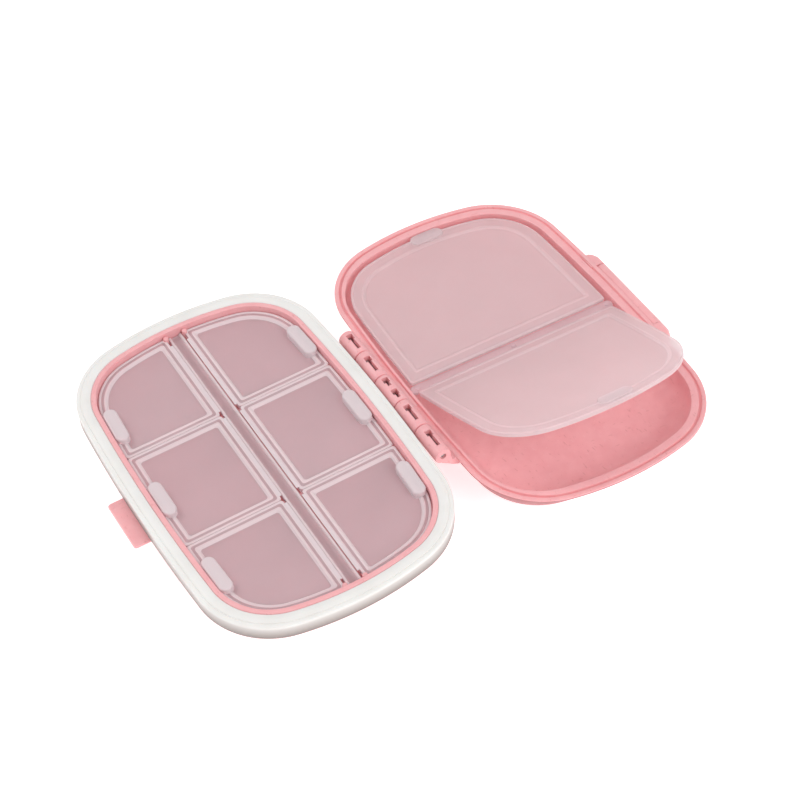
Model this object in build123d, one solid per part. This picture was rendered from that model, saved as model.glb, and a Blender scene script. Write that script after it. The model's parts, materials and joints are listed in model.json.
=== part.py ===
from build123d import *
from math import asin, atan2, cos, degrees, radians, sin, sqrt
import os

# A travel pill organiser that opens like a clamshell. Millimetres.
# Origin: centre of the base's flat bottom. +X runs across the hinge towards the cover,
# +Y runs along the hinge, +Z is up. The cover lies open, its outer face on the table.

# ---------------------------------------------------------------- driving dimensions
BASE_HEIGHT = 19.6          # bottom of the base to the crown of the seal ring
BASE_HALF_LENGTH = 60.9     # outline of the seal ring, along Y
BASE_HALF_WIDTH = 39.7      # outline of the seal ring, along X
COVER_DEPTH = 10.7          # rim plane to the outer face of the cover
COVER_HALF_LENGTH = 60.9
COVER_HALF_WIDTH = 40.5
SIDE_RADIUS = 602.0         # the long sides bow out a little
END_RADIUS = 92.0           # the short sides bow out more
BASE_CORNER_RADIUS = 23.8
COVER_CORNER_RADIUS = 24.6

HINGE_X = 42.84             # hinge axis from the centre of either half
HINGE_Z = BASE_HEIGHT - 2.74
RIM_DROP = 2.94             # hinge axis above the open cover's rim plane
FLAP_AJAR = 23.5            # how far the near flap stands open, degrees

SEAL_WIDTH = 4.4
SEAL_HEIGHT = 5.8
FLANGE_THICKNESS = 0.8      # carries the seal ring
FLANGE_INSET = 1.4
BASE_WALL_INSET = 4.6       # outer wall of the base, in from the seal ring
BASE_BOTTOM_ROUND = 12.7
LIP_WIDTH = 1.55            # pink lip inside the seal ring
BASE_FLOOR = 1.8
BASE_POCKET_INSET = 7.5
BASE_POCKET_ROUND = 10.2
CENTRE_WALL = 1.8
CROSS_WALL = 1.4
ROW_GAP_Y = 18.5            # the two cross walls

LID_LEDGE_DROP = 3.85       # lid ledge below the crown of the seal ring
LID_THICKNESS = 1.0
LID_FRAME_RISE = 0.75
LID_GAP = 0.25              # half the gap between neighbouring lids
LID_CLEARANCE = 0.35        # lid to the wall of its well
LID_FRAME_WIDTH = 2.9
SPINE_HALF_WIDTH = 2.2
HINGE_GAP = 0.15
WEB_THICKNESS = 0.35
WEB_WIDTH = 0.7
TAB_LENGTH = 13.2           # finger tab of a lid
TAB_WIDTH = 4.2
TAB_DROP = 0.4              # its top below the crown of the seal ring
TAB_SHIFT = -0.8            # along Y, from the middle of the lid

COVER_FLANGE = 0.9
RIM_TRIM = 1.3              # the rim is this much narrower on the hinge side
COVER_STEP_INSET = 1.1      # thicker band under the groove
COVER_STEP = 2.0
COVER_WALL_INSET = 3.2
COVER_BOTTOM_ROUND = 8.8
COVER_FLOOR = 1.5
GROOVE_START = 1.3          # groove that takes the seal ring's crown
GROOVE_END = 2.2
GROOVE_DEPTH = 0.8
POCKET_INSET = 4.4
COVER_POCKET_ROUND = 7.0
DIVIDER_HALF_WIDTH = 0.9
DIVIDER_DROP = 1.9          # top of the divider below the rim plane
FLAP_INSET = 6.1
FLAP_TOP_DROP = 0.3         # flap frame below the rim plane
FLAP_THICKNESS = 0.8
FLAP_FRAME_RISE = 0.6
FLAP_FRAME_WIDTH = 4.6
FLAP_PIVOT_Y = 1.8
FLAP_PIVOT_DROP = 0.35
FLAP_TAB_LENGTH = 11.3
FLAP_TAB_X = 2.4
FAR_TAB_SETBACK = 2.5       # middle of the far flap's tab from the pocket wall
NEAR_TAB_SETBACK = 5.5
FLAP_SPINE_HALF_WIDTH = 1.55

BARREL_RADIUS = 2.6
PIN_RADIUS = 0.9
RUNNING_CLEARANCE = 0.06
KNUCKLE_START = 25.8        # far end of the first knuckle
KNUCKLE_LENGTHS = (9.8, 11.3, 11.3, 11.3, 11.7)
KNUCKLE_GAP = 0.3

LATCH_X = 42.0              # latch pivot from the centre of the cover
LATCH_DROP = 2.2            # latch pivot below the rim plane
LATCH_RADIUS = 1.9
LATCH_PIN_RADIUS = 0.75
LATCH_HALF_LENGTH = 14.9
LATCH_REACH = 9.9
LATCH_THICKNESS = 1.5
LATCH_FOLD = 222.0          # locked position to folded back, degrees
EAR_GAP = 0.25
EAR_LENGTH = 6.0
CATCH_HALF_LENGTH = 8.9     # catch tab on the base
CATCH_REACH = 4.8
CATCH_THICKNESS = 1.1
CATCH_DROP = 5.0

LEDGE_Z = BASE_HEIGHT - LID_LEDGE_DROP
FLANGE_TOP = BASE_HEIGHT - SEAL_HEIGHT
FLANGE_BOTTOM = FLANGE_TOP - FLANGE_THICKNESS
LIP_INSET = SEAL_WIDTH + LIP_WIDTH

# The open cover drops until its outer face meets the table.
FLAT_BOTTOM = HINGE_Z - RIM_DROP - COVER_DEPTH
ROUND_CENTRE_X = HINGE_X + COVER_HALF_WIDTH - COVER_WALL_INSET - COVER_BOTTOM_ROUND
ROUND_CENTRE_DROP = RIM_DROP + COVER_DEPTH - COVER_BOTTOM_ROUND


def find_rest_tilt():
    """Angle at which the cover's outer round just touches the table."""
    low, high = 0.0, 10.0
    for _ in range(60):
        tilt = (low + high) / 2
        centre = HINGE_Z - ROUND_CENTRE_DROP * cos(radians(tilt)) - ROUND_CENTRE_X * sin(radians(tilt))
        if centre > COVER_BOTTOM_ROUND:
            low = tilt
        else:
            high = tilt
    return low


REST_TILT = find_rest_tilt()
HINGE_AXIS = Axis((HINGE_X, 0, HINGE_Z), (0, 1, 0))


# ---------------------------------------------------------------- shared helpers
class Outline:
    """Rounded rectangle of eight tangent arcs; an inset gives a parallel curve."""

    def __init__(self, half_length, half_width, corner):
        self.half_length = half_length
        self.half_width = half_width
        self.corner = corner
        self.side = Vector(half_width - SIDE_RADIUS, 0)
        self.end = Vector(0, half_length - END_RADIUS)
        span = self.end - self.side
        to_side = SIDE_RADIUS - corner
        to_end = END_RADIUS - corner
        along = (to_side**2 - to_end**2 + span.length**2) / (2 * span.length)
        across = sqrt(to_side**2 - along**2)
        unit = span.normalized()
        first = self.side + unit * along + Vector(unit.Y, -unit.X) * across
        second = self.side + unit * along - Vector(unit.Y, -unit.X) * across
        self.round = first if first.X + first.Y > second.X + second.Y else second

    def quarter(self, inset):
        """Side middle, side joint, corner middle, end joint and end middle."""
        radius = self.corner - inset
        to_side = (self.round - self.side).normalized()
        to_end = (self.round - self.end).normalized()
        halfway = (to_side + to_end).normalized()
        return (
            Vector(self.half_width - inset, 0),
            self.round + to_side * radius,
            self.round + halfway * radius,
            self.round + to_end * radius,
            Vector(0, self.half_length - inset),
        )

    def side_middle(self, inset):
        """Point of the long side arc halfway between its middle and its joint."""
        joint = self.quarter(inset)[1]
        angle = atan2(joint.Y, joint.X - self.side.X) / 2
        radius = SIDE_RADIUS - inset
        return Vector(self.side.X + radius * cos(angle), radius * sin(angle))

    def wire(self, inset=0.0):
        """Closed wire that starts at the middle of the +X side and runs towards +Y."""
        middle, joint, corner, end_joint, end = self.quarter(inset)
        quarter_side = self.side_middle(inset)

        def flip(point, x, y):
            return Vector(point.X * x, point.Y * y)

        edges = [
            ThreePointArc(middle, quarter_side, joint),
            ThreePointArc(joint, corner, end_joint),
            ThreePointArc(end_joint, end, flip(end_joint, -1, 1)),
            ThreePointArc(flip(end_joint, -1, 1), flip(corner, -1, 1), flip(joint, -1, 1)),
            ThreePointArc(flip(joint, -1, 1), flip(middle, -1, 1), flip(joint, -1, -1)),
            ThreePointArc(flip(joint, -1, -1), flip(corner, -1, -1), flip(end_joint, -1, -1)),
            ThreePointArc(flip(end_joint, -1, -1), flip(end, 1, -1), flip(end_joint, 1, -1)),
            ThreePointArc(flip(end_joint, 1, -1), flip(corner, 1, -1), flip(joint, 1, -1)),
            ThreePointArc(flip(joint, 1, -1), flip(quarter_side, 1, -1), middle),
        ]
        return Wire(edges)

    def prism(self, inset, bottom, top):
        """Solid with this outline between two heights."""
        return extrude(Pos(0, 0, bottom) * Face(self.wire(inset)), amount=top - bottom)


def block(x_low, x_high, y_low, y_high, z_low, z_high):
    """Axis-aligned box between two corners."""
    size = (x_high - x_low, y_high - y_low, z_high - z_low)
    centre = ((x_low + x_high) / 2, (y_low + y_high) / 2, (z_low + z_high) / 2)
    return Pos(*centre) * Box(*size)


def rod(x, z, radius, y_low, y_high):
    """Cylinder whose axis is parallel to Y."""
    circle = Plane.XZ.offset(-y_high) * Pos(x, z) * Circle(radius)
    return extrude(circle, amount=y_high - y_low)


def profile_along_y(points, y_low, y_high):
    """Prism whose X-Z section is the given polygon."""
    section = Plane.XZ.offset(-y_high) * Polygon(*points, align=None)
    return extrude(section, amount=y_high - y_low, dir=(0, -1, 0))


def bottom_edges(solid):
    return solid.edges().group_by(Axis.Z)[0]


def top_edges(solid):
    return solid.edges().group_by(Axis.Z)[-1]


def upright_edges(solid):
    return solid.edges().filter_by(Axis.Z)


def slot_prism(x, y, length, width, z_low, z_high):
    """Bar with round ends, its length along Y."""
    shape = Pos(x, y, z_low) * Rot(0, 0, 90) * SlotOverall(length, width)
    return extrude(shape, amount=z_high - z_low)


BASE_OUTLINE = Outline(BASE_HALF_LENGTH, BASE_HALF_WIDTH, BASE_CORNER_RADIUS)
COVER_OUTLINE = Outline(COVER_HALF_LENGTH, COVER_HALF_WIDTH, COVER_CORNER_RADIUS)
RIM_OUTLINE = Outline(COVER_HALF_LENGTH, COVER_HALF_WIDTH - RIM_TRIM / 2, COVER_CORNER_RADIUS)


def place_on_cover(shape):
    """Move a shape from the cover's own frame (rim plane, centre) to the open, tilted cover."""
    placed = Pos(2 * HINGE_X, 0, HINGE_Z - RIM_DROP) * shape
    return placed.rotate(HINGE_AXIS, REST_TILT)


# ---------------------------------------------------------------- main hinge
def knuckle_spans():
    """Y limits of the five knuckles, far end first."""
    spans = []
    top = KNUCKLE_START
    for length in KNUCKLE_LENGTHS:
        spans.append((top - length + KNUCKLE_GAP / 2, top - KNUCKLE_GAP / 2))
        top -= length
    return spans


def window_spans(index, low, high):
    """Core windows of one knuckle, as (square end, tail end) pairs along Y."""
    middle = (low + high) / 2
    if index == 2:
        return [(middle + 4.4, middle + 0.9), (middle - 0.9, middle - 4.4)]
    return [(middle + 3.2, middle - 3.2)]


def knuckle(index, web, bore):
    """One hinge knuckle about the origin of the X-Z plane, with its web, bore and windows."""
    low, high = knuckle_spans()[index]
    body = rod(0, 0, BARREL_RADIUS, low, high) + profile_along_y(web, low, high)
    body -= rod(0, 0, bore, low - 1, high + 1)
    for start, stop in window_spans(index, low, high):
        square_stop = start - 2.1
        body -= block(-1.0, 1.0, square_stop, start, 0.2, 4.0)
        body -= block(-0.55, 0.55, stop, square_stop, 0.2, 4.0)
    return body


BASE_WEB = ((-8.6, -6.4), (-8.6, -3.4), (-3.0, -3.4), (-2.3, -1.2), (0.9, -2.4), (-0.9, -3.3), (-3.4, -5.2))
COVER_WEB = ((-0.6, -2.5), (1.7, 1.9), (3.0, RIM_DROP * -1), (5.6, -3.3), (5.6, -6.4), (3.2, -5.2))


def build_hinge_pin():
    """Steel pin through all five knuckles."""
    low = knuckle_spans()[-1][0] + 0.5
    high = knuckle_spans()[0][1] - 0.5
    pin = rod(HINGE_X, HINGE_Z, PIN_RADIUS, low, high)
    return chamfer(pin.edges().filter_by(GeomType.CIRCLE), 0.25)


# ---------------------------------------------------------------- base
def build_base_shell():
    """Base: six pockets, lid well, lip, seal flange, catch tab and two hinge knuckles."""
    body = BASE_OUTLINE.prism(BASE_WALL_INSET, 0, FLANGE_BOTTOM)
    body = fillet(bottom_edges(body), BASE_BOTTOM_ROUND)
    body += BASE_OUTLINE.prism(FLANGE_INSET, FLANGE_BOTTOM, FLANGE_TOP)
    body += BASE_OUTLINE.prism(SEAL_WIDTH, FLANGE_TOP, BASE_HEIGHT - 0.15)
    well = BASE_OUTLINE.prism(LIP_INSET, LEDGE_Z, BASE_HEIGHT + 1)
    body -= well

    pocket = BASE_OUTLINE.prism(BASE_POCKET_INSET, BASE_FLOOR, LEDGE_Z + 0.5)
    pocket = fillet(bottom_edges(pocket), BASE_POCKET_ROUND)
    half_wall = CENTRE_WALL / 2
    for x_low, x_high in ((-50, -half_wall), (half_wall, 50)):
        for y_low, y_high in row_spans(CROSS_WALL / 2, 70):
            cell = pocket & block(x_low, x_high, y_low, y_high, 0, LEDGE_Z + 0.5)
            body -= cell

    for x in (-SPINE_HALF_WIDTH - 0.9, SPINE_HALF_WIDTH + 0.9):
        for side in (-1, 1):
            y = side * (BASE_HALF_LENGTH - LIP_INSET - 1.0)
            post = Pos(x, y, LEDGE_Z + 1.1) * Cylinder(0.8, 3.2)
            body += post
    body += build_catch_tab()
    for index in (1, 3):
        part = knuckle(index, BASE_WEB, PIN_RADIUS)
        body += Pos(HINGE_X, 0, HINGE_Z) * part
    return body


def build_catch_tab():
    """Flat tab under the seal ring that the latch window drops over."""
    top = BASE_HEIGHT - CATCH_DROP
    inner = -BASE_HALF_WIDTH + BASE_WALL_INSET + 0.5
    outer = -BASE_HALF_WIDTH - CATCH_REACH
    tab = block(outer, inner, -CATCH_HALF_LENGTH, CATCH_HALF_LENGTH, top - CATCH_THICKNESS, top)
    corners = upright_edges(tab).group_by(Axis.X)[0]
    return fillet(corners, 0.8)


def row_spans(half_gap, outer):
    """Y limits of the three rows, far row first."""
    return (
        (ROW_GAP_Y + half_gap, outer),
        (-ROW_GAP_Y + half_gap, ROW_GAP_Y - half_gap),
        (-outer, -ROW_GAP_Y - half_gap),
    )


def build_seal_ring():
    """Silicone ring: crowned top, a groove near its outer edge and an upright side."""
    x = BASE_HALF_WIDTH
    z = BASE_HEIGHT
    inner = x - SEAL_WIDTH
    foot = z - SEAL_HEIGHT
    round_low = 0.5

    def point(along, up):
        return Vector(along, 0, up)

    crown_end = point(x - 1.45, z - 0.22)
    groove = point(x - 1.3, z - 0.5)
    bead_start = point(x - 1.1, z - 0.3)
    side_top = point(x, z - 0.95)
    side_low = point(x - 0.05, foot + round_low)
    foot_outer = point(x - round_low - 0.05, foot)
    edges = [
        ThreePointArc(point(inner, z - 0.3), point(x - 2.6, z), crown_end),
        Line(crown_end, groove),
        Line(groove, bead_start),
        ThreePointArc(bead_start, point(x - 0.25, z - 0.45), side_top),
        Line(side_top, side_low),
        ThreePointArc(side_low, point(x - 0.2, foot + 0.15), foot_outer),
        Line(foot_outer, point(inner, foot)),
        Line(point(inner, foot), point(inner, z - 0.3)),
    ]
    ring = sweep(Face(Wire(edges)), path=BASE_OUTLINE.wire())
    room = CATCH_HALF_LENGTH + 0.05
    return ring - block(-50, -30, -room, room, 0, BASE_HEIGHT - CATCH_DROP + 0.05)


def build_lid_spine():
    """Strip between the two columns of lids: a channel with a raised rail on each side."""
    end = BASE_HALF_LENGTH - LIP_INSET - 0.4
    top = LEDGE_Z + 1.4
    strip = block(-SPINE_HALF_WIDTH, SPINE_HALF_WIDTH, -end, end, LEDGE_Z, top)
    strip -= block(-SPINE_HALF_WIDTH + 0.7, SPINE_HALF_WIDTH - 0.7, -end - 1, end + 1, top - 0.6, top + 1)
    return strip


def framed_plate(plan, panel, bottom, thickness, rise):
    """Plate with a raised frame: plan is its outline, panel the sunken middle."""
    plate = extrude(Pos(0, 0, bottom) * plan, amount=thickness + rise)
    plate -= extrude(Pos(0, 0, bottom + thickness) * panel, amount=rise + 1)
    return chamfer(top_edges(plate), 0.2)


def rectangle(x_low, x_high, y_low, y_high):
    return Pos((x_low + x_high) / 2, (y_low + y_high) / 2) * Rectangle(x_high - x_low, y_high - y_low)


def build_base_lid(side, row):
    """One of the six lids; side is -1 or 1 across the spine, row 0 is the far one."""
    y_low, y_high = row_spans(LID_GAP, 60)[row]
    start = SPINE_HALF_WIDTH + HINGE_GAP
    frame_start = start + WEB_WIDTH
    outer = Face(BASE_OUTLINE.wire(LIP_INSET + LID_CLEARANCE))
    inner = Face(BASE_OUTLINE.wire(LIP_INSET + LID_CLEARANCE + LID_FRAME_WIDTH))

    def span(x_near, x_far, low, high):
        limits = sorted((side * x_near, side * x_far))
        return rectangle(limits[0], limits[1], low, high)

    plan = outer & span(frame_start, 50, y_low, y_high)
    if row != 1:
        end = BASE_HALF_LENGTH - LIP_INSET
        notch_low = end - 2.4 if row == 0 else -end - 1
        plan -= span(0, SPINE_HALF_WIDTH + 2.1, notch_low, notch_low + 3.4)
    frame = LID_FRAME_WIDTH
    panel = inner & span(frame_start + frame - WEB_WIDTH, 50, y_low + frame, y_high - frame)
    bottom = LEDGE_Z + 0.05
    lid = framed_plate(plan, panel, bottom, LID_THICKNESS, LID_FRAME_RISE)

    top = bottom + LID_THICKNESS + LID_FRAME_RISE
    web_low = y_low + 1.2 if row != 2 else -BASE_HALF_LENGTH + LIP_INSET + 4.0
    web_high = y_high - 1.2 if row != 0 else BASE_HALF_LENGTH - LIP_INSET - 4.0
    x_limits = sorted((side * start, side * (frame_start + 0.3)))
    lid += block(x_limits[0], x_limits[1], web_low, web_high, top - WEB_THICKNESS, top)

    middle = (31.5, 0.0, -31.5)[row] + TAB_SHIFT
    bow = middle**2 / (2 * SIDE_RADIUS)
    reach = BASE_HALF_WIDTH - LIP_INSET - 0.2 - bow
    tab = slot_prism(0, 0, TAB_LENGTH, TAB_WIDTH, bottom, BASE_HEIGHT - TAB_DROP)
    tab = chamfer(top_edges(tab), 0.4)
    lean = degrees(asin(side * middle / SIDE_RADIUS))
    tab = Pos(side * (reach - TAB_WIDTH / 2), middle, 0) * Rot(0, 0, lean) * tab
    return lid + (tab & BASE_OUTLINE.prism(LIP_INSET + 0.2, bottom - 1, top + 5))


# ---------------------------------------------------------------- cover
def build_cover_shell():
    """Cover: two pockets, seal groove, tab shelves, three hinge knuckles and the latch ears."""
    body = COVER_OUTLINE.prism(COVER_WALL_INSET, -COVER_DEPTH, -COVER_FLANGE)
    body = fillet(bottom_edges(body), COVER_BOTTOM_ROUND)
    outer = body
    rim = RIM_OUTLINE.prism(COVER_STEP_INSET, -COVER_STEP, -COVER_FLANGE)
    rim += RIM_OUTLINE.prism(0, -COVER_FLANGE, 0)
    groove = RIM_OUTLINE.prism(GROOVE_START, -GROOVE_DEPTH, 1)
    groove -= RIM_OUTLINE.prism(GROOVE_END, -GROOVE_DEPTH - 1, 2)
    body += Pos(RIM_TRIM / 2, 0, 0) * (rim - groove)

    pocket = COVER_OUTLINE.prism(POCKET_INSET, -COVER_DEPTH + COVER_FLOOR, 1)
    pocket = fillet(bottom_edges(pocket), COVER_POCKET_ROUND)
    body -= pocket
    divider = block(-50, 50, -DIVIDER_HALF_WIDTH, DIVIDER_HALF_WIDTH, -COVER_DEPTH, -DIVIDER_DROP)
    body += divider & outer
    for side in (-1, 1):
        shelf_y = side * (COVER_HALF_LENGTH - POCKET_INSET)
        shelf = Pos(FLAP_TAB_X, shelf_y - side * 0.6, -2.6) * Box(8.0, 2.6, 1.0)
        body += shelf

    for index in (0, 2, 4):
        part = knuckle(index, COVER_WEB, PIN_RADIUS + RUNNING_CLEARANCE)
        body += Pos(-HINGE_X, 0, RIM_DROP) * part
    return add_latch_ears(body)


def add_latch_ears(body):
    """Two ears that carry the latch pin, and the room between them for the lever's barrel."""
    inner = LATCH_HALF_LENGTH + EAR_GAP
    outer = inner + EAR_LENGTH
    ear = rod(LATCH_X, -LATCH_DROP, LATCH_RADIUS, -outer, outer)
    ear += block(37.6, LATCH_X, -outer, outer, -LATCH_DROP - LATCH_RADIUS, -LATCH_DROP + LATCH_RADIUS)
    slope = ((37.0, outer + 1), (37.0, -outer - 1), (40.0, -outer), (44.0, -outer + 3.4))
    slope += ((44.0, outer - 3.4), (40.0, outer))
    plan = extrude(Pos(0, 0, -8) * Polygon(*slope, align=None), amount=10, dir=(0, 0, 1))
    ear -= block(30, 50, -inner, inner, -8, 2)
    body += ear & plan
    body -= rod(LATCH_X, -LATCH_DROP, LATCH_RADIUS + 0.25, -inner, inner)
    return body - rod(LATCH_X, -LATCH_DROP, LATCH_PIN_RADIUS, -inner - 3.6, inner + 3.6)


def build_flap_spine():
    """Thin strip on the cover's divider, held by three weld heads."""
    reach = COVER_HALF_WIDTH - POCKET_INSET - 0.3
    width = FLAP_SPINE_HALF_WIDTH
    top = -DIVIDER_DROP + 0.8
    strip = block(-reach, reach, -width, width, -DIVIDER_DROP, top)
    strip = fillet(upright_edges(strip), 1.2)
    for x in (2.2 - reach, 0.0, reach - 2.2):
        head = Pos(x, 0, top) * Cylinder(0.75, 0.35, align=(Align.CENTER, Align.CENTER, Align.MIN))
        strip += head
    return strip


def build_cover_flap(side):
    """Flap over one half of the cover, built shut; side is 1 for the far one."""
    start = FLAP_PIVOT_Y + 0.1
    outer = Face(COVER_OUTLINE.wire(FLAP_INSET))
    inner = Face(COVER_OUTLINE.wire(FLAP_INSET + FLAP_FRAME_WIDTH))

    def span(y_near, y_far):
        limits = sorted((side * y_near, side * y_far))
        return rectangle(-50, 50, limits[0], limits[1])

    plan = outer & span(start, 70)
    panel = inner & span(start + 1.3, 70)
    bottom = -FLAP_TOP_DROP - FLAP_FRAME_RISE - FLAP_THICKNESS
    flap = framed_plate(plan, panel, bottom, FLAP_THICKNESS, FLAP_FRAME_RISE)
    setback = FAR_TAB_SETBACK if side == 1 else NEAR_TAB_SETBACK
    tab_y = side * (COVER_HALF_LENGTH - POCKET_INSET - setback)
    tab = Rot(0, 0, 90) * slot_prism(0, 0, FLAP_TAB_LENGTH, 4.2, bottom, -0.1)
    tab = Pos(FLAP_TAB_X, tab_y, 0) * tab
    return flap + chamfer(top_edges(tab), 0.3)


def open_near_flap(shape):
    """Turn the near flap about its hinge line, away from the pocket."""
    axis = Axis((0, -FLAP_PIVOT_Y, -FLAP_PIVOT_DROP), (-1, 0, 0))
    return shape.rotate(axis, FLAP_AJAR)


def build_latch_lever():
    """Latch lever in its locked position, standing up from the cover's rim plane."""
    half = LATCH_HALF_LENGTH
    thick = LATCH_THICKNESS / 2
    lever = rod(0, 0, LATCH_RADIUS, -half, half)
    lever += block(-thick, thick, -half, half, 0, LATCH_REACH)
    lever = fillet(lever.edges().filter_by(Axis.Y).group_by(Axis.Z)[-1], 0.5)
    lever -= block(-3, 3, -CATCH_HALF_LENGTH - 0.5, CATCH_HALF_LENGTH + 0.5, 6.8, 8.9)
    lever -= rod(0, 0, LATCH_PIN_RADIUS + RUNNING_CLEARANCE, -half - 1, half + 1)
    pivot = Axis((0, 0, 0), (0, 1, 0))
    return Pos(LATCH_X, 0, -LATCH_DROP) * lever.rotate(pivot, LATCH_FOLD)


def build_latch_pin():
    reach = LATCH_HALF_LENGTH + EAR_GAP + 3.5
    return rod(LATCH_X, -LATCH_DROP, LATCH_PIN_RADIUS, -reach, reach)


# ---------------------------------------------------------------- write the parts
def build_all():
    nodes = {
        "base_shell": build_base_shell(),
        "seal_ring": build_seal_ring(),
        "lid_spine": build_lid_spine(),
        "hinge_pin": build_hinge_pin(),
        "cover_shell": place_on_cover(build_cover_shell()),
        "flap_spine": place_on_cover(build_flap_spine()),
        "latch_lever": place_on_cover(build_latch_lever()),
        "latch_pin": place_on_cover(build_latch_pin()),
    }
    for column, side in (("left", -1), ("right", 1)):
        for row, name in enumerate(("far", "middle", "near")):
            nodes[f"lid_{column}_{name}"] = build_base_lid(side, row)
    nodes["flap_far"] = place_on_cover(build_cover_flap(1))
    nodes["flap_near"] = place_on_cover(open_near_flap(build_cover_flap(-1)))
    return nodes


os.makedirs("parts", exist_ok=True)
for node, shape in build_all().items():
    export_step(shape, f"parts/{node}.step")
print(f"rest tilt {REST_TILT:.3f} degrees")
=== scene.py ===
import json
from math import asin, atan2, cos, hypot, pi, radians, sin, sqrt, tan

import bmesh
import bpy
from mathutils import Matrix, Vector
from mathutils.geometry import delaunay_2d_cdt


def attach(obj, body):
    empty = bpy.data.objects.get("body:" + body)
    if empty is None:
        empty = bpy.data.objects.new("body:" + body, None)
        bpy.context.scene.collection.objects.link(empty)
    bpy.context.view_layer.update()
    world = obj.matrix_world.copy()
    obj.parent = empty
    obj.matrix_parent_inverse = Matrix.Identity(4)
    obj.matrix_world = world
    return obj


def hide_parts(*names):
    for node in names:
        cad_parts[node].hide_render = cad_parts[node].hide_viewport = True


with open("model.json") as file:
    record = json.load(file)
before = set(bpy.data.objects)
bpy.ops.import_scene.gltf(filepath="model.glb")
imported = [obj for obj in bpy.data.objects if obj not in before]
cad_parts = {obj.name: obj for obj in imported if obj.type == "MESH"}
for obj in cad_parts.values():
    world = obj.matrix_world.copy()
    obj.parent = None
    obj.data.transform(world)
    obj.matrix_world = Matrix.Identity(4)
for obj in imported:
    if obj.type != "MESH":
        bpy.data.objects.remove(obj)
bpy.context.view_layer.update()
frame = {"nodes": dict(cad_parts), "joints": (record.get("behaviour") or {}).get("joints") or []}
JOINTS = {joint["name"]: joint for joint in frame["joints"]}

# An open travel pill organiser. Lengths are in millimetres until a mesh is made.

# ---------------------------------------------------------------- sizes
SIDE_RADIUS = 602.0
END_RADIUS = 92.0
BASE_TOP = 19.6
BASE_HALF_LENGTH = 60.9
BASE_HALF_WIDTH = 39.7
COVER_HALF_LENGTH = 60.9
COVER_HALF_WIDTH = 40.5
BASE_CORNER = 23.8
COVER_CORNER = 24.6

HINGE_X, _, HINGE_Z = (1000 * v for v in JOINTS["cover_hinge"]["pos_m"])
RIM_DROP = 2.94
COVER_DEPTH = 10.7
COVER_WALL_INSET = 3.2
COVER_ROUND = 8.8
WELL_INSET = 4.4
WELL_ROUND = 6.8
RIM_TRIM = 1.3
DIVIDER_HALF_WIDTH = 0.9
DIVIDER_TOP = -1.9

SEAL_WIDTH = 4.4
SEAL_HEIGHT = 5.8
LIP_INSET = 5.95
LEDGE_Z = BASE_TOP - 3.85
ROW_Y = 18.5
POCKET_INSET = 7.5
POCKET_ROUND = 10.2
POCKET_FLOOR = 1.8

KNUCKLE_LENGTHS = (9.8, 11.3, 11.3, 11.3, 11.7)
KNUCKLE_START = 25.8
BARREL_RADIUS = 2.6
CATCH_HALF_LENGTH = 8.9
POST_X = 3.1
POST_RADIUS = 0.8

LID_TAB_ROWS = (31.5, 0.0, -31.5)
LID_TAB_SHIFT = -0.8
LID_TAB_LENGTH = 13.2
TAB_WIDTH = 4.2
FLAP_INSET = 6.1
FLAP_BOTTOM = -1.7
FLAP_PIVOT = Vector((0, -1.8, -0.35))
FLAP_AJAR = 23.5
FLAP_TAB_LENGTH = 11.3
FLAP_TAB_X = 2.4

LATCH_X = 42.0
LATCH_Z = -2.2
LATCH_RADIUS = 1.9
LATCH_HALF_LENGTH = 14.9
LATCH_FOLD = 222.0

# ---------------------------------------------------------------- outlines


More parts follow.
